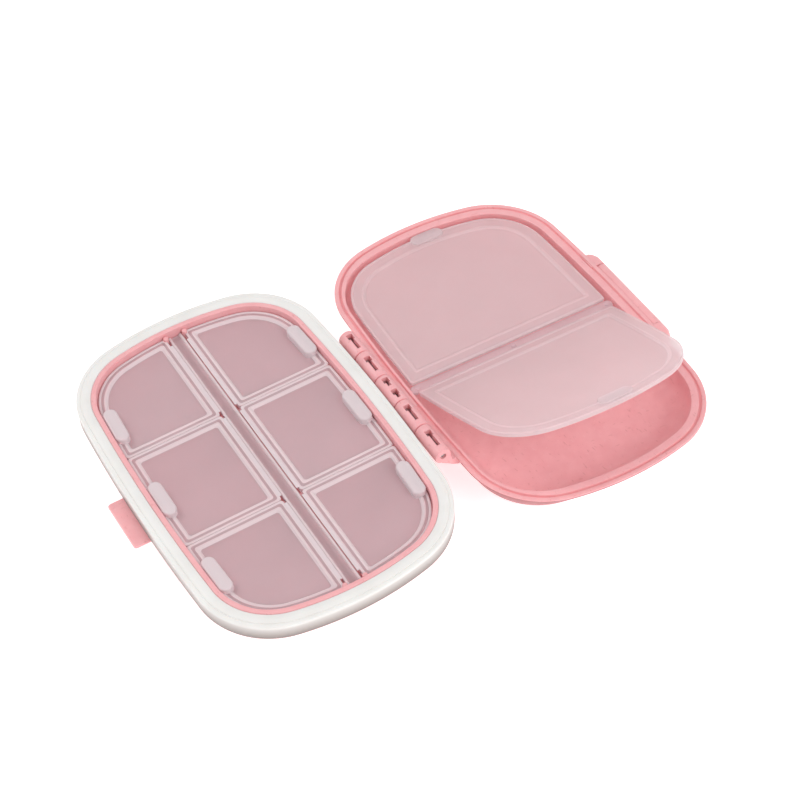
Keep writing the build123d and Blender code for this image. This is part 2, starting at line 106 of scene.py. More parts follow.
class Outline:
    """Rounded rectangle of tangent arcs, read by the direction of its outward normal."""

    def __init__(self, half_length, half_width, corner):
        self.side = Vector((half_width - SIDE_RADIUS, 0))
        self.end = Vector((0, half_length - END_RADIUS))
        to_side = SIDE_RADIUS - corner
        to_end = END_RADIUS - corner
        span = self.end - self.side
        along = (to_side**2 - to_end**2 + span.length_squared) / (2 * span.length)
        across = sqrt(to_side**2 - along**2)
        unit = span.normalized()
        self.round = self.side + unit * along - Vector((unit.y, -unit.x)) * across
        self.corner = corner
        first = self.round - self.side
        second = self.round - self.end
        self.turn_a = atan2(first.y, first.x)
        self.turn_b = atan2(second.y, second.x)

    def point(self, angle, inset=0.0):
        """Point whose outward normal has this angle, on the curve moved in by inset."""
        angle = (angle + pi) % (2 * pi) - pi
        sign_x = 1 if abs(angle) <= pi / 2 else -1
        sign_y = 1 if angle >= 0 else -1
        folded = abs(angle) if sign_x > 0 else pi - abs(angle)
        if folded <= self.turn_a:
            centre, radius = self.side, SIDE_RADIUS
        elif folded <= self.turn_b:
            centre, radius = self.round, self.corner
        else:
            centre, radius = self.end, END_RADIUS
        reach = radius - inset
        x = centre.x + reach * cos(folded)
        y = centre.y + reach * sin(folded)
        return Vector((sign_x * x, sign_y * y))

    def quarter_angles(self):
        """Normal angles over the first quarter, close together where it turns."""
        angles = [self.turn_a * i / 8 for i in range(8)]
        angles += [self.turn_a + (self.turn_b - self.turn_a) * i / 26 for i in range(26)]
        angles += [self.turn_b + (pi / 2 - self.turn_b) * i / 12 for i in range(13)]
        return angles

    def loop_angles(self):
        quarter = self.quarter_angles()
        left = [pi - a for a in reversed(quarter[:-1])]
        half = quarter + left
        return half + [a + pi for a in half[1:-1]]

    def loop(self, inset=0.0):
        return [self.point(angle, inset) for angle in self.loop_angles()]

    def angle_at(self, axis, value, inset):
        """Normal angle in the first quarter where x (axis 0) or y (axis 1) has this value."""
        low, high = 0.0, pi / 2
        for _ in range(48):
            middle = (low + high) / 2
            found = self.point(middle, inset)[axis]
            inside = found > value if axis == 0 else found < value
            if inside:
                low = middle
            else:
                high = middle
        return low

    def run(self, start, stop, inset, count):
        """Evenly spaced points along the curve between two normal angles."""
        fine = [self.point(start + (stop - start) * i / 600, inset) for i in range(601)]
        steps = [0.0]
        for a, b in zip(fine, fine[1:]):
            steps.append(steps[-1] + (b - a).length)
        points = []
        index = 0
        for i in range(count):
            target = steps[-1] * i / (count - 1)
            while index < 599 and steps[index + 1] < target:
                index += 1
            share = (target - steps[index]) / (steps[index + 1] - steps[index] or 1)
            points.append(fine[index].lerp(fine[index + 1], share))
        return points


BASE = Outline(BASE_HALF_LENGTH, BASE_HALF_WIDTH, BASE_CORNER)
COVER = Outline(COVER_HALF_LENGTH, COVER_HALF_WIDTH, COVER_CORNER)
RIM = Outline(COVER_HALF_LENGTH, COVER_HALF_WIDTH - RIM_TRIM / 2, COVER_CORNER)


# ---------------------------------------------------------------- mesh building


class Solid:
    """Collects closed shells for one object."""

    def __init__(self):
        self.points = []
        self.faces = []

    def add_points(self, loop, z=None):
        start = len(self.points)
        for p in loop:
            self.points.append((p[0], p[1], p[2] if z is None else z))
        return list(range(start, start + len(loop)))

    def stitch(self, first, second):
        count = len(first)
        for i in range(count):
            j = (i + 1) % count
            self.faces.append((first[i], first[j], second[j], second[i]))

    def loft(self, loops, caps=True, closed=False):
        """Skin over loops of equal length, each a list of 3-D points."""
        rings = [self.add_points(loop) for loop in loops]
        for a, b in zip(rings, rings[1:]):
            self.stitch(a, b)
        if closed:
            self.stitch(rings[-1], rings[0])
        elif caps:
            self.faces.append(tuple(reversed(rings[0])))
            self.faces.append(tuple(rings[-1]))
        return rings

    def add(self, other, matrix=None):
        start = len(self.points)
        for p in other.points:
            self.points.append(tuple(matrix @ Vector(p)) if matrix else p)
        for face in other.faces:
            self.faces.append(tuple(i + start for i in face))
        return self

    def mesh(self, name, matrix=None, sharp=32.0):
        scale = Matrix.Scale(0.001, 4)
        full = scale @ matrix if matrix else scale
        mesh = bpy.data.meshes.new(name)
        mesh.from_pydata([full @ Vector(p) for p in self.points], [], self.faces)
        tidy_mesh(mesh, sharp)
        return mesh


def tidy_mesh(mesh, sharp=32.0):
    """Outward normals, and smooth shading broken at sharp edges."""
    work = bmesh.new()
    work.from_mesh(mesh)
    bmesh.ops.remove_doubles(work, verts=work.verts, dist=1e-7)
    bmesh.ops.recalc_face_normals(work, faces=work.faces)
    work.to_mesh(mesh)
    work.free()
    mesh.shade_smooth()
    mesh.set_sharp_from_angle(angle=radians(sharp))


def lift(loop, z):
    return [Vector((p[0], p[1], z)) for p in loop]


def arc(centre, radius, start, stop, count):
    """Points of an arc in a plane; angles in degrees."""
    points = []
    for i in range(count + 1):
        angle = radians(start + (stop - start) * i / count)
        points.append((centre[0] + radius * cos(angle), centre[1] + radius * sin(angle)))
    return points


def round_corners(points, radii, count=5, closed=False):
    """Polyline with its corners turned into arcs of the given radii."""
    result = []
    total = len(points)
    for i, here in enumerate(points):
        radius = radii[i] if isinstance(radii, (list, tuple)) else radii
        end = not closed and i in (0, total - 1)
        if end or radius <= 0:
            result.append(tuple(here))
            continue
        here = Vector(here)
        back = (Vector(points[i - 1]) - here).normalized()
        ahead = (Vector(points[(i + 1) % total]) - here).normalized()
        half = back.angle(ahead) / 2
        reach = radius / tan(half)
        first = here + back * reach
        second = here + ahead * reach
        weight = sin(half)
        for k in range(count + 1):
            t = k / count
            a, b, c = (1 - t) ** 2, 2 * t * (1 - t) * weight, t**2
            p = (first * a + here * b + second * c) / (a + b + c)
            result.append((p.x, p.y))
    return result


def bar(section, y_low, y_high, edge=0.25):
    """Prism along Y from an X-Z section, with softened ends."""
    solid = Solid()
    middle_x = sum(p[0] for p in section) / len(section)
    middle_z = sum(p[1] for p in section) / len(section)
    size = max(hypot(p[0] - middle_x, p[1] - middle_z) for p in section)
    loops = []
    for y, shrink in (
        (y_low, edge),
        (y_low + 0.3 * edge, 0.3 * edge),
        (y_low + edge, 0.0),
        (y_high - edge, 0.0),
        (y_high - 0.3 * edge, 0.3 * edge),
        (y_high, edge),
    ):
        k = 1 - shrink / size
        loop = [(middle_x + (p[0] - middle_x) * k, y, middle_z + (p[1] - middle_z) * k) for p in section]
        loops.append(loop)
    solid.loft(loops)
    return solid


def circle(x, z, radius, count=48):
    turns = [2 * pi * i / count for i in range(count)]
    return [(x + radius * cos(turn), z + radius * sin(turn)) for turn in turns]


def slot_loop(x, y, length, width, shrink=0.0, count=16):
    """Bar with round ends in plan, its length along Y."""
    radius = width / 2 - shrink
    reach = length / 2 - width / 2
    top = arc((x, y + reach), radius, 0, 180, count)
    bottom = arc((x, y - reach), radius, 180, 360, count)
    return top + bottom


def soft_pad(loop_at, z_low, z_high, edge, low_edge=0.0):
    """Pad whose loop_at(shrink) gives its plan; the top edge is rounded."""
    loops = [lift(loop_at(low_edge), z_low)]
    if low_edge:
        loops.append(lift(loop_at(0.0), z_low + low_edge))
    for x, z in arc((0, 0), edge, 0, 90, 6):
        loops.append(lift(loop_at(edge - x), z_high - edge + z))
    solid = Solid()
    solid.loft(loops)
    return solid


def box_solid(low, high):
    x = (low[0], high[0])
    y = (low[1], high[1])
    solid = Solid()
    plan = [(x[0], y[0]), (x[1], y[0]), (x[1], y[1]), (x[0], y[1])]
    solid.loft([lift(plan, z) for z in (low[2], high[2])])
    return solid


def cut(solid, tools, operation="DIFFERENCE"):
    """Solid with the tool solids taken away or joined on."""
    target = bpy.data.objects.new("work_target", solid.mesh("work_target"))
    bpy.context.scene.collection.objects.link(target)
    extras = []
    for tool in tools:
        extra = bpy.data.objects.new("work_tool", tool.mesh("work_tool"))
        bpy.context.scene.collection.objects.link(extra)
        modifier = target.modifiers.new("cut", "BOOLEAN")
        modifier.operation = operation
        modifier.solver = "EXACT"
        modifier.object = extra
        extras.append(extra)
    bpy.context.view_layer.update()
    ready = target.evaluated_get(bpy.context.evaluated_depsgraph_get())
    result = Solid()
    result.points = [tuple(v.co * 1000) for v in ready.data.vertices]
    result.faces = [tuple(p.vertices) for p in ready.data.polygons]
    for item in [target] + extras:
        data = item.data
        bpy.data.objects.remove(item)
        bpy.data.meshes.remove(data)
    return result


def place(name, mesh, body, material, slot, *nodes):
    piece = bpy.data.objects.new(name, mesh)
    bpy.context.scene.collection.objects.link(piece)
    if material:
        mesh.materials.append(material)
    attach(piece, body)
    if nodes:
        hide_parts(*nodes)
    return piece


def mark_edges(mesh, matrix, level, top, panel, edge):
    """Paler material on the rounded edges above one level, and on all that stands above the other:
    painted highlight on beads and rails, denser frosting on tabs.
    """
    mesh.materials.append(panel)
    mesh.materials.append(edge)
    back = (Matrix.Scale(0.001, 4) @ matrix).inverted()
    turn = matrix.to_3x3().inverted()
    for face in mesh.polygons:
        slope = (turn @ face.normal).z
        height = (back @ face.center).z
        if height > top or (height > level and slope < 0.95):
            face.material_index = 1


def mark_band(mesh, matrix, plain, rim_shade):
    """Material with painted shade on the cover's outside below its rim, but not on its hinge and latch.
    """
    mesh.materials.append(plain)
    mesh.materials.append(rim_shade)
    back = (Matrix.Scale(0.001, 4) @ matrix).inverted()
    turn = matrix.to_3x3().inverted()
    for face in mesh.polygons:
        centre = back @ face.center
        out = turn @ face.normal
        outward = out.x * centre.x + out.y * centre.y > 0.4 * hypot(centre.x, centre.y)
        clear = abs(centre.y) > (22.3 if centre.x > 0 else 31) or abs(centre.x) < 37.45
        if centre.z < -0.22 and (outward or out.z < -0.6) and out.z < 0.1 and clear:
            face.material_index = 1


# ---------------------------------------------------------------- camera, light and floor


def add_camera():
    """Long lens from the near left, above, rolled a little."""
    turn, height, roll = radians(-27.617), radians(48.588), radians(-4.347)
    target = Vector((0.04237, -0.00666, 0.0196))
    back = Vector((sin(turn) * cos(height), -cos(turn) * cos(height), sin(height)))
    level = Vector((0, 0, 1)).cross(back).normalized()
    up = back.cross(level)
    right = level * cos(roll) + up * sin(roll)
    top = up * cos(roll) - level * sin(roll)
    camera = bpy.data.objects.new("camera", bpy.data.cameras.new("camera"))
    camera.data.lens = 89.97
    camera.data.sensor_width = 36.0
    camera.data.clip_end = 20.0
    bpy.context.scene.collection.objects.link(camera)
    matrix = Matrix((right, top, back)).transposed().to_4x4()
    matrix.translation = target + back * 0.57446
    camera.matrix_world = matrix
    bpy.context.scene.camera = camera


def add_light(name, where, size, power, colour=(1, 1, 1)):
    light = bpy.data.lights.new(name, "AREA")
    light.shape = "DISK"
    light.size = size
    light.energy = power
    light.color = colour
    item = bpy.data.objects.new(name, light)
    bpy.context.scene.collection.objects.link(item)
    item.location = where
    aim = Vector((0.04, 0, 0)) - Vector(where)
    item.rotation_euler = aim.to_track_quat("-Z", "Y").to_euler()


def add_studio():
    world = bpy.data.worlds.new("studio")
    bpy.context.scene.world = world
    world.use_nodes = True
    world.node_tree.nodes["Background"].inputs["Color"].default_value = (1, 1, 1, 1)
    world.node_tree.nodes["Background"].inputs["Strength"].default_value = 0.63
    add_light("key", (-0.45, 0.55, 0.85), 0.55, 3.2)
    add_light("fill", (0.3, -0.75, 0.6), 0.7, 3.5)
    bpy.context.scene.view_settings.view_transform = "Standard"
    bpy.context.scene.view_settings.look = "None"
    floor = Solid()
    floor.points = [(-3000, -3000, 0), (3000, -3000, 0), (3000, 3000, 0), (-3000, 3000, 0)]
    floor.faces = [(0, 1, 2, 3)]
    item = bpy.data.objects.new("floor", floor.mesh("floor"))
    bpy.context.scene.collection.objects.link(item)
    item.data.materials.append(plain_floor())


# ---------------------------------------------------------------- materials


def start_material(name):
    material = bpy.data.materials.new(name)
    material.use_nodes = True
    tree = material.node_tree
    shader = tree.nodes["Principled BSDF"]
    return material, tree, shader


def noise(tree, scale, detail=4.0, stretch=(1, 1, 1), turn=(0, 0, 0), distortion=0.0):
    """Noise in the object's own space; scale is per metre."""
    place_node = tree.nodes.new("ShaderNodeTexCoord")
    mapping = tree.nodes.new("ShaderNodeMapping")
    mapping.inputs["Scale"].default_value = stretch
    mapping.inputs["Rotation"].default_value = turn
    texture = tree.nodes.new("ShaderNodeTexNoise")
    texture.inputs["Scale"].default_value = scale
    texture.inputs["Detail"].default_value = detail
    texture.inputs["Distortion"].default_value = distortion
    tree.links.new(place_node.outputs["Object"], mapping.inputs["Vector"])
    tree.links.new(mapping.outputs["Vector"], texture.inputs["Vector"])
    return texture.outputs["Fac"]


def height_share(tree, low, high):
    """0 to 1 between two heights of the object's own space, metres."""
    place_node = tree.nodes.new("ShaderNodeTexCoord")
    split = tree.nodes.new("ShaderNodeSeparateXYZ")
    spread = tree.nodes.new("ShaderNodeMapRange")
    spread.inputs["From Min"].default_value = low
    spread.inputs["From Max"].default_value = high
    tree.links.new(place_node.outputs["Object"], split.inputs["Vector"])
    tree.links.new(split.outputs["Z"], spread.inputs["Value"])
    return spread.outputs["Result"]


def ramp(tree, source, stops):
    """Colour ramp from (position, colour) stops."""
    node = tree.nodes.new("ShaderNodeValToRGB")
    for _ in stops[2:]:
        node.color_ramp.elements.new(0.5)
    for element, (position, colour) in zip(node.color_ramp.elements, stops):
        element.position = position
        element.color = colour if len(colour) == 4 else (*colour, 1)
    tree.links.new(source, node.inputs["Fac"])
    return node.outputs["Color"]


def mix_colours(tree, factor, first, second):
    node = tree.nodes.new("ShaderNodeMix")
    node.data_type = "RGBA"
    tree.links.new(factor, node.inputs["Factor"])
    sockets = [s for s in node.inputs if s.type == "RGBA"]
    for socket, value in zip(sockets, (first, second)):
        if isinstance(value, tuple):
            socket.default_value = (*value, 1)
        else:
            tree.links.new(value, socket)
    return [s for s in node.outputs if s.type == "RGBA"][0]


def add_bump(tree, shader, source, distance, strength=1.0):
    bump = tree.nodes.new("ShaderNodeBump")
    bump.inputs["Strength"].default_value = strength
    bump.inputs["Distance"].default_value = distance
    tree.links.new(source, bump.inputs["Height"])
    tree.links.new(bump.outputs["Normal"], shader.inputs["Normal"])


def grey(value):
    return (value, value, value)


def plain_floor():
    material, tree, shader = start_material("floor")
    shader.inputs["Base Color"].default_value = (0.92, 0.92, 0.92, 1)
    shader.inputs["Roughness"].default_value = 0.9
    shader.inputs["Specular IOR Level"].default_value = 0.1
    shader.inputs["Emission Color"].default_value = (1, 1, 1, 1)
    shader.inputs["Emission Strength"].default_value = 0.55
    return material


def pink_plastic(name, painted_shade=False):
    """Moulded plastic filled with plant fibre: soft mottling, short dark and pale flecks. The shaded
    copy adds painted shade, darker with height, for the cover below its rim.
    """
    material, tree, shader = start_material(name)
    mottle = noise(tree, 260.0, 3.0)
    body = ramp(tree, mottle, [(0.3, (0.90, 0.425, 0.445)), (0.7, (0.94, 0.475, 0.490))])
    fleck_a = noise(tree, 1500.0, 1.0, (1.0, 0.28, 1.0), (0.2, 0.1, 0.5))
    fleck_b = noise(tree, 1300.0, 1.0, (0.3, 1.0, 1.0), (0.1, 0.4, -0.4))
    pale = noise(tree, 1100.0, 1.0, (1.0, 0.6, 0.6), (0.5, 0.2, 0.9))
    dark_a = ramp(tree, fleck_a, [(0.68, grey(0)), (0.76, grey(0.42))])
    dark_b = ramp(tree, fleck_b, [(0.69, grey(0)), (0.77, grey(0.34))])
    light = ramp(tree, pale, [(0.69, grey(0)), (0.76, grey(0.35))])
    colour = mix_colours(tree, dark_a, body, (0.66, 0.240, 0.240))
    colour = mix_colours(tree, dark_b, colour, (0.70, 0.280, 0.270))
    colour = mix_colours(tree, light, colour, (0.95, 0.560, 0.570))
    if painted_shade:
        # Painted shade under the cover's rim: darker with height above 2 mm.
        painted_rim_shade = ramp(tree, height_share(tree, 0.0020, 0.0078), [(0.0, grey(0)), (0.9, grey(0.8))])
        colour = mix_colours(tree, painted_rim_shade, colour, (0.38, 0.130, 0.140))
    tree.links.new(colour, shader.inputs["Base Color"])
    gloss = ramp(tree, mottle, [(0.3, grey(0.40)), (0.7, grey(0.50))])
    tree.links.new(gloss, shader.inputs["Roughness"])
    shader.inputs["Subsurface Weight"].default_value = 0.12
    shader.inputs["Subsurface Radius"].default_value = (0.003, 0.0012, 0.0012)
    shader.inputs["Subsurface Scale"].default_value = 1.0
    add_bump(tree, shader, noise(tree, 2600.0, 3.0), 0.00002, 0.35)
    return material


def silicone():
    """Off-white silicone, matte, with painted shade that darkens it towards its foot."""
    material, tree, shader = start_material("silicone")
    cloud = noise(tree, 120.0, 4.0)
    own_colour = ramp(tree, cloud, [(0.3, (0.83, 0.81, 0.785)), (0.7, (0.875, 0.86, 0.84))])
    # Painted shade: the colour darkens with falling height, standing in for the shade near the floor.
    spread = height_share(tree, 0.0138, 0.0191)
    stops = [(0.0, (0.19, 0.155, 0.145)), (0.3, (0.37, 0.32, 0.30)), (0.85, (0.66, 0.625, 0.605))]
    painted_foot_shade = ramp(tree, spread, stops)
    shade_free_share = ramp(tree, spread, [(0.8, grey(0)), (1.0, grey(1))])
    tree.links.new(mix_colours(tree, shade_free_share, painted_foot_shade, own_colour), shader.inputs["Base Color"])
    gloss = ramp(tree, cloud, [(0.3, grey(0.46)), (0.7, grey(0.56))])
    tree.links.new(gloss, shader.inputs["Roughness"])
    shader.inputs["Subsurface Weight"].default_value = 0.25
    shader.inputs["Subsurface Radius"].default_value = (0.002, 0.0017, 0.0015)
    shader.inputs["Subsurface Scale"].default_value = 1.0
    add_bump(tree, shader, noise(tree, 3200.0, 2.0), 0.00001, 0.3)
    return material


def frosted_plastic(name, cover, alpha, tint):
    """Milky plastic: part scatters, part lets blurred light through."""
    material, tree, shader = start_material(name)
    cloud = noise(tree, 90.0, 3.0)
    grain = noise(tree, 5200.0, 2.0)
    low = tuple(0.97 * c for c in tint)
    colour = ramp(tree, cloud, [(0.3, low), (0.7, tint)])
    tree.links.new(colour, shader.inputs["Base Color"])
    gloss = ramp(tree, grain, [(0.3, grey(0.36)), (0.7, grey(0.46))])
    tree.links.new(gloss, shader.inputs["Roughness"])
    shader.inputs["Transmission Weight"].default_value = 1.0 - cover
    shader.inputs["IOR"].default_value = 1.46
    shader.inputs["Alpha"].default_value = alpha
    add_bump(tree, shader, grain, 0.00001, 0.4)
    return material


def steel():
    material, tree, shader = start_material("steel")
    lines = noise(tree, 900.0, 3.0, (1.0, 0.05, 1.0))
    colour = ramp(tree, lines, [(0.3, (0.34, 0.33, 0.33)), (0.7, (0.50, 0.49, 0.49))])
    tree.links.new(colour, shader.inputs["Base Color"])
    gloss = ramp(tree, lines, [(0.3, grey(0.28)), (0.7, grey(0.42))])
    tree.links.new(gloss, shader.inputs["Roughness"])
    shader.inputs["Metallic"].default_value = 1.0
    return material


# ---------------------------------------------------------------- base


def outline_loft(outline, profile, caps=True, closed=False):
    """Skin over (inset, z) pairs carried round an outline."""
    solid = Solid()
    solid.loft([lift(outline.loop(inset), z) for inset, z in profile], caps, closed)
    return solid


def seal_ring():
    """Crowned ring with a groove near its outer edge, notched over the catch tab."""
    z = BASE_TOP
    foot = z - SEAL_HEIGHT
    corners = [
        (SEAL_WIDTH, foot),
        (SEAL_WIDTH, z - 0.25),
        (2.6, z),
        (1.45, z - 0.22),
        (1.3, z - 0.5),
        (1.1, z - 0.3),
        (0.0, z - 0.45),
        (0.05, foot),
    ]
    radii = [0.0, 0.5, 2.0, 0.15, 0.06, 0.15, 0.5, 0.55]
    profile = round_corners(corners, radii, 6, closed=True)
    ring = outline_loft(BASE, profile, closed=True)
    return cut(ring, [box_solid((-50, -8.95, 10), (-30, 8.95, BASE_TOP - 4.95))])


def base_outside():
    """Skin of the base from its bottom up over the flange and lip to the ledge."""
    z = BASE_TOP
    profile = [(p[0], p[1]) for p in arc((17.3, 12.7), 12.7, 270, 180, 18)]
    profile += round_corners(
        [
            (4.6, 12.75),
            (4.6, 13.0),
            (1.4, 13.0),
            (1.4, z - SEAL_HEIGHT),
            (SEAL_WIDTH, z - SEAL_HEIGHT),
            (SEAL_WIDTH, z - 0.15),
            (LIP_INSET, z - 0.15),
            (LIP_INSET, LEDGE_Z),
        ],
        [0, 0.1, 0.3, 0.15, 0.1, 0.3, 0.3, 0],
        4,
    )
    solid = Solid()
    rings = solid.loft([lift(BASE.loop(inset), height) for inset, height in profile], caps=False)
    solid.faces.append(tuple(reversed(rings[0])))
    return solid, rings[-1]


class Cell:
    """One compartment of the base: which side, which row."""

    def __init__(self, side, row, inset, wall_x, wall_y, corner=0.9):
        self.side = side
        self.row = row
        self.inset = inset
        self.wall_x = wall_x
        self.wall_y = wall_y
        self.corner = corner

    def loop(self, shrink, wall=None, outer=84):
        """Plan of the cell moved in by shrink (its inner walls by wall), corners rounded."""
        wall = shrink if wall is None else wall
        inset = self.inset + shrink
        x_low = self.wall_x + wall
        if self.row == 1:
            y_top = ROW_Y - self.wall_y - wall
            start = -BASE.angle_at(1, y_top, inset)
            stop = -start
            run = BASE.run(start, stop, inset, outer)
            corners = [run[-1], Vector((x_low, y_top)), Vector((x_low, -y_top)), run[0]]
        else:
            y_low = ROW_Y + self.wall_y + wall
            start = BASE.angle_at(1, y_low, inset)
            stop = BASE.angle_at(0, x_low, inset)
            run = BASE.run(start, stop, inset, outer)
            corners = [run[-1], Vector((x_low, y_low)), run[0]]
        path = round_path(run, corners, self.corner)
        flip_y = -1 if self.row == 2 else 1
        return [Vector((self.side * p.x, flip_y * p.y)) for p in path]


def round_path(run, corners, radius):
    """Closed path: a curved run, then straight sides through the corners, each corner rounded."""
    ring = run[:-1] + corners[:-1]
    sharp = {0} | set(range(len(run) - 1, len(ring)))
    result = []
    total = len(ring)
    for i in range(total):
        here = ring[i]
        if i not in sharp:
            if min((here - ring[0]).length, (here - corners[0]).length) > radius * 1.02:
                result.append(here)
            else:
                near = ring[0] if (here - ring[0]).length < (here - corners[0]).length else corners[0]
                away = (here - near).normalized() if (here - near).length > 1e-6 else Vector((1, 0))
                result.append(near + away * radius)
            continue
        back = (ring[i - 1] - here).normalized()
        ahead = (ring[(i + 1) % total] - here).normalized()
        first, second = here + back * radius, here + ahead * radius
        weight = sin(back.angle(ahead) / 2)
        for k in range(7):
            t = k / 6
            a, b, c = (1 - t) ** 2, 2 * t * (1 - t) * weight, t**2
            result.append((first * a + here * b + second * c) / (a + b + c))
    return result


def cells():
    return [Cell(side, row, POCKET_INSET, 0.9, 0.7) for side in (-1, 1) for row in range(3)]


def base_inside(solid, rim):
    """Six rounded pockets and the ledge between them."""
    mouths = []
    foot = 2.5  # smaller round between the floor and the inner walls
    for cell in cells():
        loops = [lift(cell.loop(-0.15), LEDGE_Z)]
        loops.append(lift(cell.loop(0.0), LEDGE_Z - 0.15))
        for x, z in arc((0, 0), POCKET_ROUND, 0, -90, 18):
            low = max(0.0, -z - (POCKET_ROUND - foot))
            wall = foot - sqrt(max(0.0, foot**2 - low**2))
            loops.append(lift(cell.loop(POCKET_ROUND - x, wall), POCKET_FLOOR + POCKET_ROUND + z))
        rings = [solid.add_points(loop) for loop in loops]
        for a, b in zip(rings, rings[1:]):
            solid.stitch(a, b)
        solid.faces.append(tuple(rings[-1]))
        mouths.append(rings[0])
    fill_between(solid, rim, mouths)
    return solid


def encloses(loop, x, y):
    """Whether a closed plan holds this point, by counting the sides crossed on the way out."""
    crossed = False
    for a, b in zip(loop, loop[1:] + loop[:1]):
        if (a[1] > y) != (b[1] > y) and x < a[0] + (y - a[1]) * (b[0] - a[0]) / (b[1] - a[1]):
            crossed = not crossed
    return crossed


def fill_between(solid, rim, holes):
    """Flat face bounded by one outer loop and several holes, which stay open."""
    rings = [rim] + holes
    numbers = [i for ring in rings for i in ring]
    plan = [Vector(solid.points[i][:2]) for i in numbers]
    sides = []
    for ring in rings:
        start = len(sides)
        sides += [(start + k, start + (k + 1) % len(ring)) for k in range(len(ring))]
    flat, _, faces, sources = delaunay_2d_cdt(plan, sides, [], 0, 1e-6)[:4]
    outline, *mouths = [[solid.points[i] for i in ring] for ring in rings]
    for face in faces:
        x = sum(flat[v].x for v in face) / 3
        y = sum(flat[v].y for v in face) / 3
        if encloses(outline, x, y) and not any(encloses(mouth, x, y) for mouth in mouths):
            solid.faces.append(tuple(numbers[sources[v][0]] for v in face))


def catch_tab():
    """Flat tab on the base's outer side that the latch folds over."""
    z = BASE_TOP - 5.0
    inner = -BASE_HALF_WIDTH + 5.1
    outer = -BASE_HALF_WIDTH - 4.8
    solid = Solid()
    loops = []
    steps = ((0.3, 1.1), (0.09, 1.01), (0, 0.8), (0, 0.3), (0.09, 0.09), (0.3, 0))
    for shrink, drop in steps:
        half = CATCH_HALF_LENGTH - shrink
        plan = [(inner, -half), (inner, half), (outer + shrink, half), (outer + shrink, -half)]
        loops.append(lift(round_corners(plan, [0.0, 0.0, 0.8, 0.8], 6, closed=True), z - drop))
    solid.loft(loops)
    return solid


def knuckle_spans():
    spans = []
    top = KNUCKLE_START
    for length in KNUCKLE_LENGTHS:
        spans.append((top - length + 0.15, top - 0.15))
        top -= length
    return spans


# Arms that join the knuckles to either half, from the hinge axis.
BASE_WEB = [(-8.6, -6.4), (-8.6, -3.4), (-3.0, -3.4), (-2.3, -1.2)]
BASE_WEB += [(0.9, -2.4), (-0.9, -3.3), (-3.4, -5.2)]
COVER_WEB = [(-0.6, -2.5), (1.7, 1.9), (3.0, -RIM_DROP), (5.6, -3.3), (5.6, -6.4), (3.2, -5.2)]


def knuckle(index, web, bore):
    """Hinge knuckle about the axis: barrel, web, bore and core windows."""
    low, high = knuckle_spans()[index]
    barrel = bar(circle(0, 0, BARREL_RADIUS), low, high, 0.3)
    arm = bar(round_corners(web, 0.25, 3, closed=True), low, high, 0.2)
    body = cut(barrel, [arm], "UNION")
    middle = (low + high) / 2
    starts = [(middle + 3.2, middle - 3.2)]
    if index == 2:
        starts = [(middle + 4.4, middle + 0.9), (middle - 0.9, middle - 4.4)]
    tools = [bar(circle(0, 0, bore, 32), low - 1, high + 1)]
    for start, stop in starts:
        tools.append(box_solid((-1.0, start - 2.1, 0.2), (1.0, start, 4.0)))
        tools.append(box_solid((-0.55, stop, 0.2), (0.55, start - 2.0, 4.0)))
    return cut(body, tools)


def post(x, y):
    """Round post with a soft top, at one end of the spine."""

    def loop_at(shrink):
        return circle(x, y, POST_RADIUS - shrink, 24)

    return soft_pad(loop_at, LEDGE_Z - 0.5, LEDGE_Z + 2.7, 0.3)


def base_shell():
    """Base with its compartments, catch tab, posts and hinge knuckles."""
    solid, rim = base_outside()
    base_inside(solid, rim)
    solid.add(catch_tab())
    for x in (-POST_X, POST_X):
        for side in (-1, 1):
            solid.add(post(x, side * (BASE_HALF_LENGTH - LIP_INSET - 1.0)))
    for index in (1, 3):
        solid.add(knuckle(index, BASE_WEB, 0.9), Matrix.Translation((HINGE_X, 0, HINGE_Z)))
    return solid


def lid_spine():
    """Channel strip with a rounded rail on each side; build paints a faint highlight line along each
    rail in a paler material.
    """
    end = BASE_HALF_LENGTH - LIP_INSET - 0.4
    top = LEDGE_Z + 1.4
    corners = [
        (-2.2, LEDGE_Z),
        (-2.2, top),
        (-1.5, top),
        (-1.35, top - 0.6),
        (1.35, top - 0.6),
        (1.5, top),
        (2.2, top),
        (2.2, LEDGE_Z),
    ]
    section = round_corners(corners, [0, 0.3, 0.25, 0.2, 0.2, 0.25, 0.3, 0], 4, closed=True)
    return bar(section, -end, end, 0.2)


def framed_leaf(loop_at, bottom, thickness, rise, frame_width):
    """Leaf with a sunken panel; its frame has a fine bead along both edges."""
    top = bottom + thickness + rise
    flat = top - 0.2
    edge = 0.22
    loops = [(0.25, bottom), (0.07, bottom + 0.07), (0.0, bottom + 0.25)]
    for x, z in arc((0, 0), edge, 0, 90, 4):
        loops.append((edge - x, top - edge + z))
    loops += [(0.5, top), (0.6, top - 0.04), (0.78, flat + 0.03), (0.95, flat)]
    inner = frame_width - 0.75
    loops += [(inner - 0.75, flat), (inner - 0.58, flat + 0.03)]
    loops += [(inner - 0.4, top - 0.04), (inner - 0.3, top)]
    for x, z in arc((0, 0), 0.25, 90, 40, 3):
        loops.append((inner + x, top - 0.25 + z))
    loops.append((frame_width - 0.1, bottom + thickness + 0.12))
    loops.append((frame_width + 0.15, bottom + thickness + 0.02))
    loops.append((frame_width + 0.5, bottom + thickness))
    solid = Solid()
    solid.loft([lift(loop_at(shrink), z) for shrink, z in loops])
    return solid


